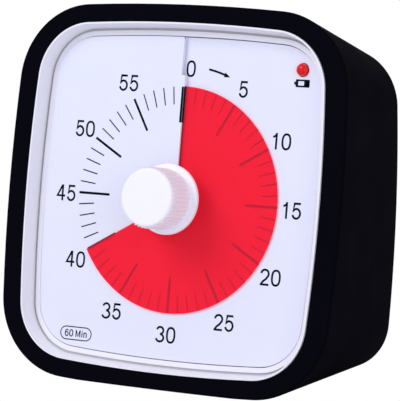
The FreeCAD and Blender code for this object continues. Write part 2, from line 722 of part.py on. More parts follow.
# The movement case over the train, and the motor on its back.
CHASSIS_BACK = "(-Sizes.shelf_thick - Sizes.chassis_thick)"
CASE_FLOOR = "(%s - Sizes.case_depth)" % CHASSIS_BACK
case_blank = face_block("case_blank", "Sizes.case_left", CHASSIS_BACK, "Sizes.case_low",
                        "Sizes.case_right - Sizes.case_left", "Sizes.case_depth + Sizes.case_wall",
                        "Sizes.case_high - Sizes.case_low")
case_room = face_block("case_room", "Sizes.case_left + Sizes.case_wall", CHASSIS_BACK + " + 1",
                       "Sizes.case_low + Sizes.case_wall", "Sizes.case_right - Sizes.case_left - 2 * Sizes.case_wall",
                       "Sizes.case_depth + 1", "Sizes.case_high - Sizes.case_low - 2 * Sizes.case_wall")
rotor_hole = face_rod("rotor_hole", "Sizes.arbor_hole_r", ROTOR_X, CASE_FLOOR + " + 1", ROTOR_Z, CASE_FLOOR + " - 3")
node("movement_case", cut("movement", case_blank, [case_room, rotor_hole]))
MOTOR_TOP = "(%s - Sizes.case_wall)" % CASE_FLOOR
motor = lathe("motor_body", [("Sizes.arbor_hole_r", "0"), ("Sizes.motor_r", "0"),
                             ("Sizes.motor_r", "-Sizes.motor_long"), ("0", "-Sizes.motor_long"),
                             ("0", "-2.5 * Sizes.bearing_gap"), ("Sizes.arbor_hole_r", "-2.5 * Sizes.bearing_gap")])
node("motor", on_face(motor, ROTOR_X, MOTOR_TOP, ROTOR_Z))

# The rear housing: the drafted shell, its upright back panel and the battery block.
shell_blank = cut("shell_blank",
                  prism("shell_outer", "outer", SHELL_INSET, "Sizes.frame_back - Sizes.shell_gap", FAR),
                  [behind("shell_back", PANEL)])
shell_room = cut("shell_room",
                 prism("shell_inner", "outer", SHELL_INSET + " + Sizes.shell_wall",
                       "Sizes.frame_back + 1", FAR),
                 [behind("room_back", PANEL + " - Sizes.panel_wall")])
battery_block = block("battery_block", "-block_half_w", PANEL + " - Sizes.block_depth", "Sizes.block_low",
                      "2 * block_half_w", "Sizes.block_depth", "Sizes.block_high - Sizes.block_low")
posts = []
for sx in (-1, 1):
    posts.append(back_rod("shell_post%d" % (sx + 1), "Sizes.post_r", "%d * back_screw_x" % sx,
                          PANEL + " - 6", "back_screw_z", "6"))
shell = fuse("shell_solid", [cut("shell_open", shell_blank, [shell_room]), battery_block] + posts)
DOOR_MID = "((Sizes.door_low + Sizes.door_high) / 2)"
recess = block("door_recess", "-door_half_w - Sizes.door_gap", PANEL + " - Sizes.door_thick - Sizes.door_gap",
               "Sizes.door_low - Sizes.door_gap", "2 * (door_half_w + Sizes.door_gap)",
               "2 * Sizes.door_thick + Sizes.door_gap", "Sizes.door_high - Sizes.door_low + 2 * Sizes.door_gap")
bay = block("battery_bay", "-bay_half_w", PANEL + " - Sizes.block_depth + Sizes.shell_wall",
            DOOR_MID + " - bay_half_h", "2 * bay_half_w", "Sizes.block_depth",
            "2 * bay_half_h")
switch_slot = block("switch_slot", "Sizes.switch_x - Sizes.switch_travel - Sizes.nub_half_w - Sizes.slot_gap",
                    PANEL + " - 2 * Sizes.panel_wall", "Sizes.switch_z - Sizes.nub_half_h - Sizes.slot_gap",
                    "2 * (Sizes.switch_travel + Sizes.nub_half_w + Sizes.slot_gap)", "4 * Sizes.panel_wall",
                    "2 * (Sizes.nub_half_h + Sizes.slot_gap)")
shell_cuts = [recess, bay, switch_slot]
shell_cuts.append(back_rod("sound_hole", "Sizes.sound_hole_r", "Sizes.buzzer_x", PANEL + " - 2 * Sizes.panel_wall",
                           "Sizes.buzzer_z", "4 * Sizes.panel_wall"))
for number in range(int(size("sound_holes"))):
    bearing = "(%d * 360 / Sizes.sound_holes * 1 deg)" % number
    shell_cuts.append(back_rod("sound_hole_r%d" % number, "Sizes.sound_hole_r",
                               "Sizes.buzzer_x + Sizes.sound_ring_r * cos%s" % bearing,
                               PANEL + " - 2 * Sizes.panel_wall",
                               "Sizes.buzzer_z + Sizes.sound_ring_r * sin%s" % bearing, "4 * Sizes.panel_wall"))
for sx in (-1, 1):
    shell_cuts.append(back_rod("shell_screw_hole%d" % (sx + 1), "Sizes.screw_r + Sizes.screw_gap",
                               "%d * back_screw_x" % sx, PANEL + " - 5", "back_screw_z", "8"))
    shell_cuts.append(back_rod("shell_head_hole%d" % (sx + 1), "Sizes.screw_head_r + 2 * Sizes.screw_gap",
                               "%d * back_screw_x" % sx, PANEL + " - Sizes.screw_head - Sizes.screw_gap",
                               "back_screw_z", "8"))
node("rear_housing", cut("shell", shell, shell_cuts))

# The battery door, hinged on its round lower edge, with a finger notch at the top.
door_plate = block("door_plate", "-door_half_w", PANEL + " - Sizes.door_thick",
                   "Sizes.door_low + Sizes.door_thick / 2", "2 * door_half_w", "Sizes.door_thick",
                   "Sizes.door_high - Sizes.door_low - Sizes.door_thick / 2")
door_edge = doc.addObject("Part::Cylinder", "door_edge")
bind(door_edge, "Radius", "Sizes.door_thick / 2")
bind(door_edge, "Height", "2 * door_half_w")
door_edge.Placement = Placement(Vector(0, 0, 0), Rotation(Vector(0, 1, 0), 90))
on_back(door_edge, "-door_half_w", PANEL + " - Sizes.door_thick / 2", "Sizes.door_low + Sizes.door_thick / 2")
grip = doc.addObject("Part::Cylinder", "door_grip")
bind(grip, "Radius", "Sizes.door_grip_r")
bind(grip, "Height", "Sizes.door_grip_w")
grip.Placement = Placement(Vector(0, 0, 0), Rotation(Vector(0, 1, 0), 90))
on_back(grip, "-Sizes.door_grip_w / 2", PANEL + " + Sizes.door_grip_r - Sizes.door_thick / 2",
        "Sizes.door_high - Sizes.door_grip_r")
node("battery_door", cut("door", fuse("door_solid", [door_plate, door_edge]), [grip]))

# The cell and its two contacts.
CELL_Y = "(%s - Sizes.block_depth + Sizes.shell_wall + Sizes.cell_r + 0.2)" % PANEL
cell = lathe("cell_body", [("0", "Sizes.cell_long / 2"), ("Sizes.cell_tip_r", "Sizes.cell_long / 2"),
                           ("Sizes.cell_tip_r", "Sizes.cell_long / 2 - Sizes.cell_tip"),
                           ("Sizes.cell_r", "Sizes.cell_long / 2 - Sizes.cell_tip"),
                           ("Sizes.cell_r", "-Sizes.cell_long / 2"), ("0", "-Sizes.cell_long / 2")])
cell.Placement = Placement(Vector(0, 0, 0), Rotation(Vector(0, 0, 1), 90))
CELL_X = "(bay_half_w - 2 * Sizes.plate_thick - Sizes.cell_long / 2)"
node("battery", on_back(cell, CELL_X, CELL_Y, DOOR_MID))
plus = block("plus_plate", "bay_half_w - 1.8 * Sizes.plate_thick", CELL_Y + " - Sizes.cell_r / 2",
             DOOR_MID + " - Sizes.cell_r / 2", "Sizes.plate_thick", "Sizes.cell_r", "Sizes.cell_r")
node("contact_plate", plus)
spring_room = 2 * value("bay_half_w") - 2 * size("plate_thick") - size("cell_long") - 0.3
spring_pitch = (spring_room - 2 * size("spring_wire")) / size("spring_turns")
turn_steps = 20
wire_sides = 6
wire_r = size("spring_wire") / 2
coil_rings = []
for step in range(turn_steps * int(size("spring_turns")) + 1):
    bearing = 2 * math.pi * step / turn_steps
    along = size("spring_wire") + spring_pitch * step / turn_steps
    ring = []
    for number in range(wire_sides):
        around = 2 * math.pi * number / wire_sides
        reach = size("spring_r") + wire_r * math.cos(around)
        ring.append(Vector(along + wire_r * math.sin(around), reach * math.cos(bearing), reach * math.sin(bearing)))
    coil_rings.append(ring)
coil = swept(coil_rings)
node("contact_spring", on_back(solid_feature("coil", coil), "-bay_half_w", CELL_Y, DOOR_MID))

# The circuit board with the volume switch and the buzzer; the board hangs on the two posts.
board = block("board_blank", "-board_half_w", "Sizes.board_level - Sizes.board_thick", "Sizes.board_low",
              "2 * board_half_w", "Sizes.board_thick", "Sizes.board_high - Sizes.board_low")
node("circuit_board", board)
node("switch_body", block("switch_case", "Sizes.switch_x - Sizes.switch_half_w", "Sizes.board_level",
                          "Sizes.switch_z - Sizes.switch_half_h", "2 * Sizes.switch_half_w",
                          PANEL + " - Sizes.panel_wall - Sizes.slot_gap - Sizes.board_level",
                          "2 * Sizes.switch_half_h"))
node("volume_switch", block("switch_nub", "Sizes.switch_x - Sizes.nub_half_w",
                            PANEL + " - Sizes.panel_wall - Sizes.slot_gap + Sizes.screw_gap",
                            "Sizes.switch_z - Sizes.nub_half_h", "2 * Sizes.nub_half_w",
                            "Sizes.panel_wall + Sizes.slot_gap + Sizes.nub_out", "2 * Sizes.nub_half_h"))
node("buzzer", back_rod("buzzer_can", "Sizes.buzzer_r", "Sizes.buzzer_x", "Sizes.board_level", "Sizes.buzzer_z",
                        PANEL + " - Sizes.panel_wall - Sizes.slot_gap - Sizes.board_level"))

# The indicator light in the corner of the dial, standing on its small board.
led = lathe("led_body", [("0", "Sizes.led_up"), ("0.55 * Sizes.led_r", "0.85 * Sizes.led_up"),
                         ("0.9 * Sizes.led_r", "0.45 * Sizes.led_up"), ("Sizes.led_r", "-0.2"),
                         ("Sizes.led_r", "Sizes.led_board"), ("0", "Sizes.led_board")])
node("led_indicator", on_face(led, "led_x", "0", "led_z"))

# Screws: four hold the chassis to the frame's bosses, two close the back.
chassis_screws = []
for sx in (-1, 1):
    for sz in (-1, 1):
        tag = "%d%d" % (sx + 1, sz + 1)
        head = face_rod("chassis_head" + tag, "Sizes.screw_head_r", "%d * chassis_screw_x" % sx, CHASSIS_BACK,
                        "%d * Sizes.chassis_screw_z" % sz, CHASSIS_BACK + " - Sizes.screw_head")
        stalk = face_rod("chassis_stalk" + tag, "Sizes.screw_r", "%d * chassis_screw_x" % sx,
                         "-Sizes.shelf_thick - 0.05", "%d * Sizes.chassis_screw_z" % sz, CHASSIS_BACK + " - 0.5")
        chassis_screws += [head, stalk]
node("chassis_screws", fuse("chassis_screw_set", chassis_screws))
back_screws = []
for sx in (-1, 1):
    head = back_rod("back_head%d" % (sx + 1), "Sizes.screw_head_r", "%d * back_screw_x" % sx,
                    PANEL + " - Sizes.screw_head", "back_screw_z", "Sizes.screw_head")
    stalk = back_rod("back_stalk%d" % (sx + 1), "Sizes.screw_r", "%d * back_screw_x" % sx,
                     PANEL + " - Sizes.screw_head - Sizes.screw_long", "back_screw_z",
                     "Sizes.screw_long + 0.5")
    back_screws += [head, stalk]
node("case_screws", fuse("back_screw_set", back_screws))

doc.recompute()
for obj in doc.Objects:
    for state in ("Invalid", "Error"):
        if state in obj.State:
            raise RuntimeError("%s is %s" % (obj.Name, state))
os.makedirs("parts", exist_ok=True)
for label, obj in NODES.items():
    shape = obj.Shape
    if shape.isNull() or not shape.isValid() or shape.Volume <= 0:
        raise RuntimeError("%s has no valid shape" % label)
    print(label, round(shape.Volume, 1), len(shape.Solids), len(shape.Faces), shape.BoundBox)
    shape.exportStep("parts/%s.step" % label)
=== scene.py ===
import math

import bpy
from mathutils import Matrix, Vector
from mathutils.bvhtree import BVHTree


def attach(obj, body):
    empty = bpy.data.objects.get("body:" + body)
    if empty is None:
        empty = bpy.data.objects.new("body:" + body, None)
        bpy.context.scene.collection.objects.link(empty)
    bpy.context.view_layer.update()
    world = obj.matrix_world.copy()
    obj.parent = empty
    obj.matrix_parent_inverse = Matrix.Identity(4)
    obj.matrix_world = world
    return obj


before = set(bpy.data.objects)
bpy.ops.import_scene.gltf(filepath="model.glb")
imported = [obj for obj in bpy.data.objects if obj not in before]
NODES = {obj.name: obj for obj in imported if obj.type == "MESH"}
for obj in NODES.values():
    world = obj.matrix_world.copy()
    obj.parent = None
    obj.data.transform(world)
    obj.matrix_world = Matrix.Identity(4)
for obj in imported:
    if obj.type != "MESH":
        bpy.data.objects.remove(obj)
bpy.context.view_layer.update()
MM = 0.001

# The timer's driving sizes in millimetres, the same as in the part's source.
LEAN_DEGREES = 8.0
HALF_HEIGHT = 47.9
OUTLINE_UP = 0.37
LIP_LEVEL = 4.0
FOOT_FLAT = 0.5
AXIS_DEPTH = 42.6
PITCH = 1.3
SLOT_JOG = 1.0

# The leaning frame of the face: x to the right, level outward from the dial, z up the dial.
lean = math.radians(LEAN_DEGREES)
foot_drop = HALF_HEIGHT - OUTLINE_UP
shift_y = -(AXIS_DEPTH * math.cos(lean) - LIP_LEVEL * math.cos(lean) - foot_drop * math.sin(lean)) / 2
shift_z = foot_drop * math.cos(lean) - LIP_LEVEL * math.sin(lean) - FOOT_FLAT
FACE = Matrix.Translation(Vector((0, shift_y, shift_z)) * MM) @ Matrix.Rotation(-lean, 4, "X")
OUTWARD = (FACE.to_3x3() @ Vector((0, -1, 0))).normalized()


def face_point(x, level, z):
    return FACE @ (Vector((x, -level, z)) * MM)


# The camera's place and view in the frame of the face, solved from the dial's sixty marks.
CAMERA_X = 309.65
CAMERA_LEVEL = 543.05
CAMERA_Z = -0.68
CAMERA_RIGHT = Vector((0.87051, 0.48547, 0.08087))
CAMERA_AHEAD = Vector((-0.48718, 0.87330, 0.00162))
FOCAL_PIXELS = 2523.8
PHOTO_LONG_SIDE = 401.0
SENSOR = 36.0
CLIP_NEAR = 0.05
CLIP_FAR = 20.0


def view_camera():
    optics = bpy.data.cameras.new("view_camera")
    optics.sensor_width = SENSOR
    optics.lens = FOCAL_PIXELS / PHOTO_LONG_SIDE * SENSOR
    optics.clip_start = CLIP_NEAR
    optics.clip_end = CLIP_FAR
    made = bpy.data.objects.new("view_camera", optics)
    bpy.context.scene.collection.objects.link(made)
    ahead = CAMERA_AHEAD.normalized()
    right = (CAMERA_RIGHT - ahead * CAMERA_RIGHT.dot(ahead)).normalized()
    turned = Matrix((right, right.cross(ahead), -ahead)).transposed().to_4x4()
    place = Matrix.Translation(Vector((CAMERA_X, -CAMERA_LEVEL, CAMERA_Z)) * MM)
    made.matrix_world = FACE @ place @ turned
    return made


bpy.context.scene.camera = view_camera()


# Tools that the finishes share.
def colour(code):
    """A linear colour from an sRGB hex code."""
    values = []
    for start in (0, 2, 4):
        part = int(code[start:start + 2], 16) / 255.0
        values.append(part / 12.92 if part <= 0.04045 else ((part + 0.055) / 1.055) ** 2.4)
    return (*values, 1.0)


def add_node(tree, kind, settings=None, links=None):
    """Adds one node, gives it its settings and joins its inputs to other nodes' outputs."""
    made = tree.nodes.new(kind)
    for key, value in (settings or {}).items():
        if isinstance(key, int) or key in made.inputs:
            made.inputs[key].default_value = value
        else:
            setattr(made, key, value)
    for key, (source, output) in (links or {}).items():
        tree.links.new(source.outputs[output], made.inputs[key])
    return made


def material(name):
    made = bpy.data.materials.new(name)
    made.use_nodes = True
    made.node_tree.nodes.clear()
    return made, made.node_tree


def millimetre_noise(tree, size_mm, detail=2.0):
    """Noise whose features are about size_mm across."""
    coords = add_node(tree, "ShaderNodeTexCoord")
    return add_node(tree, "ShaderNodeTexNoise", {"Scale": 1.0 / (size_mm * MM), "Detail": detail},
                    {"Vector": (coords, "Object")})


# The real grain of such skins is about 0.05 mm. It is drawn at 0.2 mm or coarser, so that it shows.
SKIN_IOR = 1.46
SKIN_GLOSS_SPREAD = 0.06
SKIN_PATCH_MM = 9.0
SKIN_LIGHT_DEPTH = 1.2
PATCH_LOW = 0.3
PATCH_HIGH = 0.7
EDGE_SAMPLES = 6
CREVICE_SAMPLES = 12
CREVICE_SHUT = 0.2
CREVICE_OPEN = 0.7
CREVICE_SHADE = 0.5


def skin(name, main_code, patch_code, rough, grain_mm, relief_mm, shine, patch_mm=SKIN_PATCH_MM,
         edge_mm=0.0, crevice_mm=0.0, own=None):
    """Plastic, rubber, card or ink: fine grain, faint patches of a second tone, uneven gloss and, with
    crevice_mm, painted shade in the grooves.
    """
    made, tree = material(name)
    grain = millimetre_noise(tree, grain_mm, 3.0)
    bump = add_node(tree, "ShaderNodeBump", {"Strength": 1.0, "Distance": relief_mm * MM},
                    {"Height": (grain, "Fac")})
    if edge_mm:
        edge = add_node(tree, "ShaderNodeBevel", {"Radius": edge_mm * MM, "samples": EDGE_SAMPLES})
        tree.links.new(edge.outputs["Normal"], bump.inputs["Normal"])
    patches = millimetre_noise(tree, patch_mm)
    tone = add_node(tree, "ShaderNodeMix",
                    {"data_type": "RGBA", 6: colour(main_code), 7: colour(patch_code)}, {0: (patches, "Fac")})
    gloss = add_node(tree, "ShaderNodeMapRange",
                     {"From Min": PATCH_LOW, "From Max": PATCH_HIGH, "To Min": rough - SKIN_GLOSS_SPREAD,
                      "To Max": rough + SKIN_GLOSS_SPREAD}, {"Value": (patches, "Fac")})
    tone_link = (tone, 2)
    if crevice_mm:
        # painted shade: the colour is darkened in the grooves and along the joins, where shade falls
        openness = add_node(tree, "ShaderNodeAmbientOcclusion",
                            {"Distance": crevice_mm * MM, "samples": CREVICE_SAMPLES, "only_local": True})
        kept = add_node(tree, "ShaderNodeMapRange",
                        {"From Min": CREVICE_SHUT, "From Max": CREVICE_OPEN, "To Min": CREVICE_SHADE,
                         "To Max": 1.0}, {"Value": (openness, "AO")})
        shaded = add_node(tree, "ShaderNodeVectorMath", {"operation": "SCALE"},
                          {0: tone_link, "Scale": (kept, "Result")})
        tone_link = (shaded, 0)
    shader = add_node(tree, "ShaderNodeBsdfPrincipled",
                      {"IOR": SKIN_IOR, "Specular IOR Level": shine,
                       "Subsurface Scale": SKIN_LIGHT_DEPTH * MM},
                      {"Base Color": tone_link, "Normal": (bump, "Normal"), "Roughness": (gloss, "Result")})
    for key, value in (own or {}).items():
        shader.inputs[key].default_value = value
    add_node(tree, "ShaderNodeOutputMaterial", None, {"Surface": (shader, "BSDF")})
    return made


# Dyed polyester film, rolled smooth: saturated red, with the dial's marks showing through as darker lines,
# and a faint painted red glow that brightens it.
FILM_BODY = "ff3550"
FILM_DYE_AND_GLOW_TONE = "ff2f49"
FILM_SEE_THROUGH = 0.54
FILM_IOR = 1.45
FILM_SHINE = 0.04
# painted glow: the film gives off a little red light of its own, though it is no lamp
FILM_PAINTED_GLOW = 0.1
FILM_ROUGH = 0.4
FILM_ROUGH_SPREAD = 0.05
FILM_WAVE_MM = 8.0
FILM_RELIEF_MM = 0.01


def red_dyed_film():
    """The front face keeps much of its own colour, with a faint painted red glow. Light that goes through it
    is dyed once.
    """
    made, tree = material("red_dyed_film")
    wave = millimetre_noise(tree, FILM_WAVE_MM)
    gloss = add_node(tree, "ShaderNodeMapRange",
                     {"To Min": FILM_ROUGH - FILM_ROUGH_SPREAD, "To Max": FILM_ROUGH + FILM_ROUGH_SPREAD},
                     {"Value": (wave, "Fac")})
    bump = add_node(tree, "ShaderNodeBump", {"Strength": 0.5, "Distance": FILM_RELIEF_MM * MM},
                    {"Height": (wave, "Fac")})
    body = add_node(tree, "ShaderNodeBsdfPrincipled",
                    {"Base Color": colour(FILM_BODY), "IOR": FILM_IOR, "Specular IOR Level": FILM_SHINE,
                     "Emission Color": colour(FILM_DYE_AND_GLOW_TONE), "Emission Strength": FILM_PAINTED_GLOW},
                    {"Normal": (bump, "Normal"), "Roughness": (gloss, "Result")})
    dyed = add_node(tree, "ShaderNodeBsdfTransparent", {"Color": colour(FILM_DYE_AND_GLOW_TONE)})
    clear = add_node(tree, "ShaderNodeBsdfTransparent", {"Color": (1, 1, 1, 1)})
    seen = add_node(tree, "ShaderNodeMixShader", {"Fac": FILM_SEE_THROUGH},
                    {1: (body, "BSDF"), 2: (dyed, "BSDF")})
    ray = add_node(tree, "ShaderNodeLightPath")
    front = add_node(tree, "ShaderNodeMixShader", None,
                     {"Fac": (ray, "Is Camera Ray"), 1: (dyed, "BSDF"), 2: (seen, "Shader")})
    side = add_node(tree, "ShaderNodeNewGeometry")
    either = add_node(tree, "ShaderNodeMixShader", None,
                      {"Fac": (side, "Backfacing"), 1: (front, "Shader"), 2: (clear, "BSDF")})
    add_node(tree, "ShaderNodeOutputMaterial", None, {"Surface": (either, "Shader")})
    return made


# Cast acrylic sheet, polished: clear, with the faintest sheen.
SHEET_TINT = "f4f7ff"
SHEET_SHEEN = 0.0015
SHEET_ROUGH_LOW = 0.06
SHEET_ROUGH_HIGH = 0.14
SHEET_HAZE_MM = 20.0


def clear_acrylic():
    made, tree = material("clear_acrylic")
    haze = millimetre_noise(tree, SHEET_HAZE_MM, 1.0)
    gloss = add_node(tree, "ShaderNodeMapRange", {"To Min": SHEET_ROUGH_LOW, "To Max": SHEET_ROUGH_HIGH},
                     {"Value": (haze, "Fac")})
    clear = add_node(tree, "ShaderNodeBsdfTransparent", {"Color": (1, 1, 1, 1)})
    sheen = add_node(tree, "ShaderNodeBsdfAnisotropic", {"Color": colour(SHEET_TINT)},
                     {"Roughness": (gloss, "Result")})
    mixed = add_node(tree, "ShaderNodeMixShader", {"Fac": SHEET_SHEEN},
                     {1: (clear, "BSDF"), 2: (sheen, "BSDF")})
    add_node(tree, "ShaderNodeOutputMaterial", None, {"Surface": (mixed, "Shader")})
    return made


# Stainless steel, brushed: light grey, with a soft broken reflection.
STEEL_TONE = "b8b8bc"
STEEL_ROUGH_LOW = 0.24
STEEL_ROUGH_HIGH = 0.42
STEEL_GRAIN_MM = 0.4
STEEL_RELIEF_MM = 0.01


def brushed_steel():
    made, tree = material("brushed_steel")
    grain = millimetre_noise(tree, STEEL_GRAIN_MM, 4.0)
    gloss = add_node(tree, "ShaderNodeMapRange", {"To Min": STEEL_ROUGH_LOW, "To Max": STEEL_ROUGH_HIGH},
                     {"Value": (grain, "Fac")})
    bump = add_node(tree, "ShaderNodeBump", {"Strength": 0.6, "Distance": STEEL_RELIEF_MM * MM},
                    {"Height": (grain, "Fac")})
    shader = add_node(tree, "ShaderNodeBsdfPrincipled", {"Base Color": colour(STEEL_TONE), "Metallic": 1.0},
                      {"Roughness": (gloss, "Result"), "Normal": (bump, "Normal")})
    add_node(tree, "ShaderNodeOutputMaterial", None, {"Surface": (shader, "BSDF")})
    return made


RED_FILM = red_dyed_film()
ACRYLIC = clear_acrylic()
STEEL = brushed_steel()

# Silicone rubber, moulded in a blasted tool: dead matt and nearly black, with softly rounded edges.
SILICONE = skin("black_silicone", "090811", "08080e", rough=0.75, grain_mm=0.25, relief_mm=0.02, shine=0.01,
                patch_mm=14.0, edge_mm=0.7)

# White ABS, moulded in a smooth tool: an even satin, with painted shade darkening its grooves.
BEZEL_ABS = skin("white_bezel_abs", "f4f3f9", "f1f0f7", rough=0.34, grain_mm=0.35, relief_mm=0.004,
                 shine=0.3, edge_mm=0.15, crevice_mm=1.0)

# White card with a matt varnish: a cool flat white that hardly shines, with painted shade darkening its
# crevices and steps.
DIAL_CARD = skin("matt_dial_card", "eaecf7", "e6e9fc", rough=0.55, grain_mm=0.2, relief_mm=0.003,
                 shine=0.05, crevice_mm=1.2)

# White ABS, moulded thick: a bright satin that takes a little light in, so that its ribs shade softly, with a
# faint cool painted glow that brightens it all over.
KNOB_ABS = skin("white_knob_abs", "f6f4fb", "f3f1f9", rough=0.38, grain_mm=0.3, relief_mm=0.004, shine=0.3,
                own={"Subsurface Weight": 0.1, "Emission Color": colour("e6f0ff"),
                     "Emission Strength": 0.05})

# Screen-printed ink, flat and slightly blue: the figures and the marks.
FIGURE_INK = skin("navy_black_ink", "080b16", "0a0e1b", rough=0.6, grain_mm=0.4, relief_mm=0.002,
                  shine=0.02)

# Screen-printed ink, flat and neutral: the badge and the battery sign.
SIGN_INK = skin("black_ink", "040408", "06060c", rough=0.6, grain_mm=0.4, relief_mm=0.002, shine=0.02)

# Black ABS, moulded in an etched tool: a dark grey grain that breaks up the light.
SHELL_ABS = skin("black_abs", "101013", "131317", rough=0.48, grain_mm=0.3, relief_mm=0.012, shine=0.25)

# Natural acetal, moulded: ivory and waxy.
ACETAL = skin("ivory_acetal", "e8e5d8", "e4e1d2", rough=0.42, grain_mm=0.3, relief_mm=0.003, shine=0.4)

# Vinyl sleeve, shrunk round the cell: dark grey and glossy.
SLEEVE_VINYL = skin("cell_sleeve_vinyl", "23242a", "282a31", rough=0.3, grain_mm=0.6, relief_mm=0.003,
                    shine=0.5)

# Solder mask, printed over glass laminate: glossy green with a light weave.
SOLDER_MASK = skin("green_solder_mask", "0f5a2e", "0d5129", rough=0.35, grain_mm=0.5, relief_mm=0.008,
                   shine=0.45)

# Tinted epoxy, cast: a polished, saturated red dome that glows faintly.
LED_EPOXY = skin("red_led_epoxy", "d8040a", "c40308", rough=0.2, grain_mm=0.6, relief_mm=0.001, shine=0.25,
                 own={"Coat Weight": 0.1, "Emission Color": colour("ff1420"), "Emission Strength": 0.12})

FINISHES = {
    "silicone_cover": SILICONE,
    "front_bezel": BEZEL_ABS,
    "lens": ACRYLIC,
    "dial_plate": DIAL_CARD,
    "red_disc": RED_FILM,
    "disc_hub": BEZEL_ABS,
    "knob": KNOB_ABS,
    "output_shaft": STEEL,
    "output_wheel": ACETAL,
    "second_wheel": ACETAL,
    "third_wheel": ACETAL,
    "rotor_pinion": ACETAL,
    "chassis_plate": SHELL_ABS,
    "movement_case": SHELL_ABS,
    "motor": STEEL,
    "rear_housing": SHELL_ABS,
    "battery_door": SHELL_ABS,
    "battery": SLEEVE_VINYL,
    "contact_plate": STEEL,
    "contact_spring": STEEL,
    "circuit_board": SOLDER_MASK,
    "switch_body": STEEL,
    "volume_switch": SHELL_ABS,
    "buzzer": SHELL_ABS,
    "led_indicator": LED_EPOXY,
    "chassis_screws": STEEL,
    "case_screws": STEEL,
}
for name, finish in FINISHES.items():
    mesh = NODES[name].data
    mesh.materials.clear()
    mesh.materials.append(finish)


# Prints on the dial. Each is a set of flat outlines that is laid on the dial's own surface.
dial_mesh = NODES["dial_plate"].data
dial_tree = BVHTree.FromPolygons([v.co.copy() for v in dial_mesh.vertices],
                                 [tuple(p.vertices) for p in dial_mesh.polygons])
INK_LIFT = 0.02
PROBE_LEVEL = 6.0
PROBE_REACH = 9.0


def dial_level(x, z):
    """The dial's level under a spot, from the surface itself or, past an edge, from the spiral."""
    start = face_point(x, PROBE_LEVEL, z)
    hit = dial_tree.ray_cast(start, -OUTWARD, PROBE_REACH * MM)
    if hit[0] is not None:
        return (FACE.inverted() @ hit[0]).y / -MM
    turn = math.atan2(x, z) % (2 * math.pi)
    return -PITCH / 2 + PITCH * turn / (2 * math.pi)


def case_piece(name, points, faces, finish):
    """A mesh that stays with the case."""
    mesh = bpy.data.meshes.new(name)
    mesh.from_pydata(points, [], faces)
    mesh.materials.append(finish)
    piece = bpy.data.objects.new(name, mesh)
    bpy.context.scene.collection.objects.link(piece)
    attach(piece, "case")
    return piece


def lay(name, outlines, finish, lift=INK_LIFT):
    """One printed piece from closed outlines in dial millimetres."""
    points = []
    faces = []
    for outline in outlines:
        start = len(points)
        for x, z in outline:
            points.append(face_point(x, dial_level(x, z) + lift, z))
        faces.append(tuple(range(start, start + len(outline))))
    return case_piece(name, points, faces, finish)


MINUTES = 60
LONG_EVERY = 5
MARK_OUTER = 28.1
LONG_INNER = 19.2
SHORT_INNER = 23.7
LONG_WIDTH = 0.62
SHORT_WIDTH = 0.3
MARK_PARTS = 4
SLOT_MARGIN = 0.03


def mark(minute):
    """One minute's mark, in parts that follow the spiral. The one at twelve o'clock is left of the slot."""
    bearing = 2 * math.pi * minute / MINUTES
    long_mark = minute % LONG_EVERY == 0
    half = (LONG_WIDTH if long_mark else SHORT_WIDTH) / 2
    inner = LONG_INNER if long_mark else SHORT_INNER
    out = Vector((math.sin(bearing), math.cos(bearing)))
    side = Vector((math.cos(bearing), -math.sin(bearing)))
    aside = side * -(half + SLOT_MARGIN) if minute == 0 else Vector((0, 0))
    parts = []
    for part in range(MARK_PARTS):
        near = inner + (MARK_OUTER - inner) * part / MARK_PARTS
        far = inner + (MARK_OUTER - inner) * (part + 1) / MARK_PARTS
        corners = [out * near - side * half, out * far - side * half, out * far + side * half,
                   out * near + side * half]
        parts.append([tuple(corner + aside) for corner in corners])
    return parts


lay("minute_marks", [part for minute in range(MINUTES) for part in mark(minute)], FIGURE_INK)


def bow(cx, cz, rx, rz, start, end, steps=12):
    """Points along an elliptic bow from start to end degrees."""
    points = []
    for step in range(steps + 1):
        angle = math.radians(start + (end - start) * step / steps)
        points.append((cx + rx * math.cos(angle), cz + rz * math.sin(angle)))
    return points


def full_loop(rx, rz, squareness, steps=28):
    """A closed oval whose sides are flatter than an ellipse's."""
    points = []
    for step in range(steps + 1):
        angle = 2 * math.pi * step / steps
        across = math.cos(angle)
        along = math.sin(angle)
        points.append((rx * math.copysign(abs(across) ** squareness, across),
                       rz * math.copysign(abs(along) ** squareness, along)))
    return points


# Pen strokes of each character in a cell one unit high, with the middle at 0.
TOP = 0.448
SIDE = 0.262
STROKES = {
    "0": [full_loop(SIDE, TOP, 0.82)],
    "1": [[(0.07, -0.5), (0.07, 0.5)], [(0.07, 0.42), (-0.02, 0.31), (-0.16, 0.24)]],
    "2": [bow(0, 0.2, SIDE - 0.01, 0.248, 175, -38) + [(0.09, -0.1), (-0.12, -0.27), (-0.235, -TOP)],
          [(-0.295, -TOP), (0.285, -TOP)]],
    "3": [bow(-0.01, 0.23, 0.225, 0.218, 168, -90), bow(-0.01, -0.218, SIDE, 0.23, 90, -168)],
    "4": [[(0.08, 0.46), (-0.26, -0.19), (0.3, -0.19)], [(0.11, 0.5), (0.11, -0.5)]],
    "5": [[(0.25, TOP), (-0.16, TOP), (-0.225, 0.0)] + bow(-0.01, -0.155, 0.255, 0.293, 142, -165)],
    "6": [bow(0, -0.17, 0.24, 0.278, 180, -180, 20),
          bow(0.03, 0.1, 0.27, 0.348, 42, 180, 10) + [(-0.24, -0.17)]],
    "M": [[(-0.33, -0.5), (-0.33, 0.5)], [(0.33, 0.5), (0.33, -0.5)],
          [(-0.31, 0.46), (0, -0.4), (0.31, 0.46)]],
    "i": [[(0, -0.5), (0, 0.22)], [(0, 0.36), (0, 0.5)]],
    "n": [[(-0.2, -0.5), (-0.2, 0.24)], bow(0, -0.02, 0.2, 0.22, 170, 0) + [(0.2, -0.5)]],
}
ADVANCE = {"M": 0.96, "i": 0.4, "n": 0.66, " ": 0.3}
DIGIT_ADVANCE = 0.75
SAME_SPOT = 1e-6
SHARPEST_MITRE = 0.6


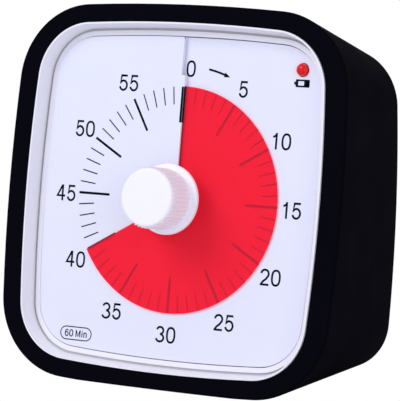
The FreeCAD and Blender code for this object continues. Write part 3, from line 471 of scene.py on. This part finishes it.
def pen(points, half):
    """Quads along one pen stroke, mitred at its corners."""
    closed = math.dist(points[0], points[-1]) < SAME_SPOT
    spine = [Vector(point) for point in points]
    last = len(spine) - 1
    edges = []
    for index, spot in enumerate(spine):
        before = spine[index - 1] if index else (spine[-2] if closed else None)
        after = spine[index + 1] if index < last else (spine[1] if closed else None)
        ways = [(spot - before).normalized()] if before is not None else []
        ways += [(after - spot).normalized()] if after is not None else []
        way = sum(ways, Vector((0, 0))).normalized()
        out = Vector((-way.y, way.x))
        stretch = 1.0 / max(SHARPEST_MITRE, abs(out.dot(Vector((-ways[0].y, ways[0].x)))))
        edges.append((spot + out * half * stretch, spot - out * half * stretch))
    return [[near[0], far[0], far[1], near[1]] for near, far in zip(edges, edges[1:])]


def lettering(name, text, centre, height, stroke, finish):
    """Upright characters, drawn with a pen of one width and laid on the dial round a centre."""
    quads = []
    x = 0.0
    for index, letter in enumerate(text):
        if index:
            x += (ADVANCE.get(text[index - 1], DIGIT_ADVANCE) + ADVANCE.get(letter, DIGIT_ADVANCE)) / 2
        for points in STROKES.get(letter, []):
            quads += pen([((x + px) * height, pz * height) for px, pz in points], stroke / 2)
    xs = [corner[0] for quad in quads for corner in quad]
    middle = (max(xs) + min(xs)) / 2
    placed = [[(centre[0] + cx - middle, centre[1] + cz) for cx, cz in quad] for quad in quads]
    return lay(name, placed, finish)


NUMERAL_RING_X = 32.1
NUMERAL_RING_Z = 33.1
NUMERAL_DROP = -0.4
NUMERAL_HEIGHT = 4.05
NUMERAL_STROKE = 0.53
ZERO_ASIDE = 0.85
for minute in range(0, MINUTES, LONG_EVERY):
    bearing = 2 * math.pi * minute / MINUTES
    x = NUMERAL_RING_X * math.sin(bearing) + (ZERO_ASIDE if minute == 0 else 0.0)
    z = NUMERAL_RING_Z * math.cos(bearing) + NUMERAL_DROP
    lettering("numeral_%02d" % minute, str(minute), (x, z), NUMERAL_HEIGHT, NUMERAL_STROKE, FIGURE_INK)

ARROW_RING = 33.3
ARROW_START = 10.3
ARROW_NECK = 18.3
ARROW_TIP = 21.2
ARROW_STROKE = 0.52
ARROW_HEAD = 0.62
ARROW_PARTS = 6


def ring_point(radius, degrees):
    """A spot on the dial at a radius and a clockwise angle from twelve o'clock."""
    return (radius * math.sin(math.radians(degrees)), radius * math.cos(math.radians(degrees)))


def arrow():
    """The curved shaft in parts, then the head."""
    inner = ARROW_RING - ARROW_STROKE / 2
    outer = ARROW_RING + ARROW_STROKE / 2
    outlines = []
    for part in range(ARROW_PARTS):
        near = ARROW_START + (ARROW_NECK - ARROW_START) * part / ARROW_PARTS
        far = ARROW_START + (ARROW_NECK - ARROW_START) * (part + 1) / ARROW_PARTS
        outlines.append([ring_point(inner, near), ring_point(inner, far), ring_point(outer, far),
                         ring_point(outer, near)])
    outlines.append([ring_point(ARROW_RING - ARROW_HEAD, ARROW_NECK), ring_point(ARROW_RING, ARROW_TIP),
                     ring_point(ARROW_RING + ARROW_HEAD, ARROW_NECK)])
    return outlines


lay("turn_arrow", arrow(), FIGURE_INK)


def rounded_box(centre, half_w, half_h, corner, steps=6):
    points = []
    for turn in range(4):
        sx = 1 if turn in (0, 3) else -1
        sz = 1 if turn in (0, 1) else -1
        for step in range(steps + 1):
            angle = math.radians(90 * turn + 90 * step / steps)
            points.append((centre[0] + sx * (half_w - corner) + corner * math.cos(angle),
                           centre[1] + sz * (half_h - corner) + corner * math.sin(angle)))
    return points


def ring(name, outer, inner, finish):
    """A band between two outlines that have the same number of points."""
    quads = []
    count = len(outer)
    for index in range(count):
        after = (index + 1) % count
        quads.append([outer[index], outer[after], inner[after], inner[index]])
    return lay(name, quads, finish)


def bar(centre, left, right, half_h):
    """An upright bar between two distances from a centre."""
    return [(centre[0] + left, centre[1] - half_h), (centre[0] + right, centre[1] - half_h),
            (centre[0] + right, centre[1] + half_h), (centre[0] + left, centre[1] + half_h)]


# The badge in the lower left corner says how long the dial runs.
BADGE = (-25.9, -35.65)
BADGE_HALF_W = 4.65
BADGE_HALF_H = 1.75
BADGE_LINE = 0.26
BADGE_LETTER = 1.75
BADGE_STROKE = 0.27
ring("badge_outline", rounded_box(BADGE, BADGE_HALF_W, BADGE_HALF_H, BADGE_HALF_H),
     rounded_box(BADGE, BADGE_HALF_W - BADGE_LINE, BADGE_HALF_H - BADGE_LINE, BADGE_HALF_H - BADGE_LINE),
     SIGN_INK)
lettering("badge_words", "60 Min", BADGE, BADGE_LETTER, BADGE_STROKE, SIGN_INK)

# The battery sign under the light: a case, its left wall, the charge at the right and the nub.
CELL = (32.15, 30.5)
CELL_HALF_W = 1.9
CELL_HALF_H = 0.95
CELL_LINE = 0.42
CELL_CORNER = 0.25
CELL_INNER_CORNER = 0.1
CELL_INSET = 0.1
CELL_WALL = 0.7
CELL_CHARGE = 0.4
CELL_NUB = 0.4
CELL_NUB_HALF_H = 0.35
ring("battery_icon_case", rounded_box(CELL, CELL_HALF_W, CELL_HALF_H, CELL_CORNER),
     rounded_box(CELL, CELL_HALF_W - CELL_LINE, CELL_HALF_H - CELL_LINE, CELL_INNER_CORNER), SIGN_INK)
lay("battery_icon_charge", [bar(CELL, CELL_INSET - CELL_HALF_W, CELL_WALL - CELL_HALF_W, CELL_HALF_H),
                            bar(CELL, CELL_CHARGE, CELL_HALF_W - CELL_INSET, CELL_HALF_H),
                            bar(CELL, -CELL_HALF_W - CELL_NUB, -CELL_HALF_W, CELL_NUB_HALF_H)],
    SIGN_INK, INK_LIFT * 2)


def block(name, across, levels, along, finish):
    """A small box of the face frame between two x, two levels and two z."""
    points = [face_point(x, level, z) for x in across for level in levels for z in along]
    faces = [(0, 1, 3, 2), (4, 6, 7, 5), (0, 4, 5, 1), (2, 3, 7, 6), (0, 2, 6, 4), (1, 5, 7, 3)]
    return case_piece(name, points, faces, finish)


# The raised flap's cut edge, seen from the right: the twelve o'clock mark runs down over it, and above the
# disc it is white.
FLAP_TOP = PITCH / 2
EDGE_SKIN = (0.005, 0.03)
MARKED_LEVELS = (-0.15, FLAP_TOP - 0.01)
WHITE_LEVELS = (-0.6, FLAP_TOP - 0.02)
WHITE_RUN = (28.3, 30.9)
block("zero_mark_edge", EDGE_SKIN, MARKED_LEVELS, (LONG_INNER, MARK_OUTER), FIGURE_INK)
block("flap_edge_riser", EDGE_SKIN, WHITE_LEVELS, WHITE_RUN, DIAL_CARD)

# The step beside the flap runs on to the dial's upper edge.
STEP_RUN = (39.86, 40.42)
RISER_ACROSS = (-SLOT_JOG - 0.5, -SLOT_JOG)
RISER_LEVELS = (-0.9, FLAP_TOP - 0.25)
TREAD_ACROSS = (-SLOT_JOG + 0.01, 0.2)
TREAD_LEVELS = (-FLAP_TOP - 0.5, -FLAP_TOP - 0.01)
block("flap_step_riser", RISER_ACROSS, RISER_LEVELS, STEP_RUN, DIAL_CARD)
block("flap_step_tread", TREAD_ACROSS, TREAD_LEVELS, STEP_RUN, DIAL_CARD)

# A plain white floor and sky, and soft studio light.
PAPER_TONE = "e6e6ea"
FLOOR_HALF = 1.5
SKY_TONE = "eef0ff"
SKY_STRENGTH = 0.62
PURE_WHITE = (1, 1, 1, 1)


def white_paper_floor():
    """Pale paper that sends light back up at the timer, and is plain white to the camera."""
    made, tree = material("white_paper_floor")
    ray = add_node(tree, "ShaderNodeLightPath")
    paper = add_node(tree, "ShaderNodeBsdfDiffuse", {"Color": colour(PAPER_TONE)})
    white = add_node(tree, "ShaderNodeEmission", {"Color": PURE_WHITE, "Strength": 1.0})
    either = add_node(tree, "ShaderNodeMath", {"operation": "MAXIMUM"},
                      {0: (ray, "Is Camera Ray"), 1: (ray, "Is Transmission Ray")})
    mixed = add_node(tree, "ShaderNodeMixShader", None,
                     {"Fac": (either, 0), 1: (paper, "BSDF"), 2: (white, "Emission")})
    add_node(tree, "ShaderNodeOutputMaterial", None, {"Surface": (mixed, "Shader")})
    return made


floor_mesh = bpy.data.meshes.new("floor")
floor_mesh.from_pydata([(-FLOOR_HALF, -FLOOR_HALF, 0), (FLOOR_HALF, -FLOOR_HALF, 0),
                        (FLOOR_HALF, FLOOR_HALF, 0), (-FLOOR_HALF, FLOOR_HALF, 0)], [], [(0, 1, 2, 3)])
floor_mesh.materials.append(white_paper_floor())
floor = bpy.data.objects.new("floor", floor_mesh)
bpy.context.scene.collection.objects.link(floor)


def studio_sky():
    made = bpy.data.worlds.new("studio")
    made.use_nodes = True
    tree = made.node_tree
    tree.nodes.clear()
    ray = add_node(tree, "ShaderNodeLightPath")
    lighting = add_node(tree, "ShaderNodeBackground", {"Color": colour(SKY_TONE), "Strength": SKY_STRENGTH})
    backdrop = add_node(tree, "ShaderNodeBackground", {"Color": PURE_WHITE, "Strength": 1.0})
    chosen = add_node(tree, "ShaderNodeMixShader", None,
                      {"Fac": (ray, "Is Camera Ray"), 1: (lighting, "Background"),
                       2: (backdrop, "Background")})
    add_node(tree, "ShaderNodeOutputWorld", None, {"Surface": (chosen, "Shader")})
    return made


bpy.context.scene.world = studio_sky()

LIGHT_AIM = Vector((0, 0, 0.045))
KEY_SPOT = (-0.45, -0.75, 0.75)
KEY_SIZE = 0.6
KEY_WATTS = 5.0
FILL_SPOT = (0.85, -0.75, 0.3)
FILL_SIZE = 0.75
FILL_WATTS = 2.6


def soft_light(name, spot, size, watts):
    lamp = bpy.data.lights.new(name, "AREA")
    lamp.shape = "SQUARE"
    lamp.size = size
    lamp.energy = watts
    holder = bpy.data.objects.new(name, lamp)
    holder.location = spot
    holder.rotation_euler = (LIGHT_AIM - Vector(spot)).to_track_quat("-Z", "Y").to_euler()
    bpy.context.scene.collection.objects.link(holder)


soft_light("key_panel", KEY_SPOT, KEY_SIZE, KEY_WATTS)
soft_light("fill_panel", FILL_SPOT, FILL_SIZE, FILL_WATTS)

bpy.context.scene.view_settings.view_transform = "Standard"
bpy.context.scene.view_settings.look = "None"

# Light crosses both faces of the window and of the film on its way in, and again on its way out. The limit
# leaves room to spare.
CLEAR_FACES = 24
bpy.context.scene.cycles.transparent_max_bounces = CLEAR_FACES
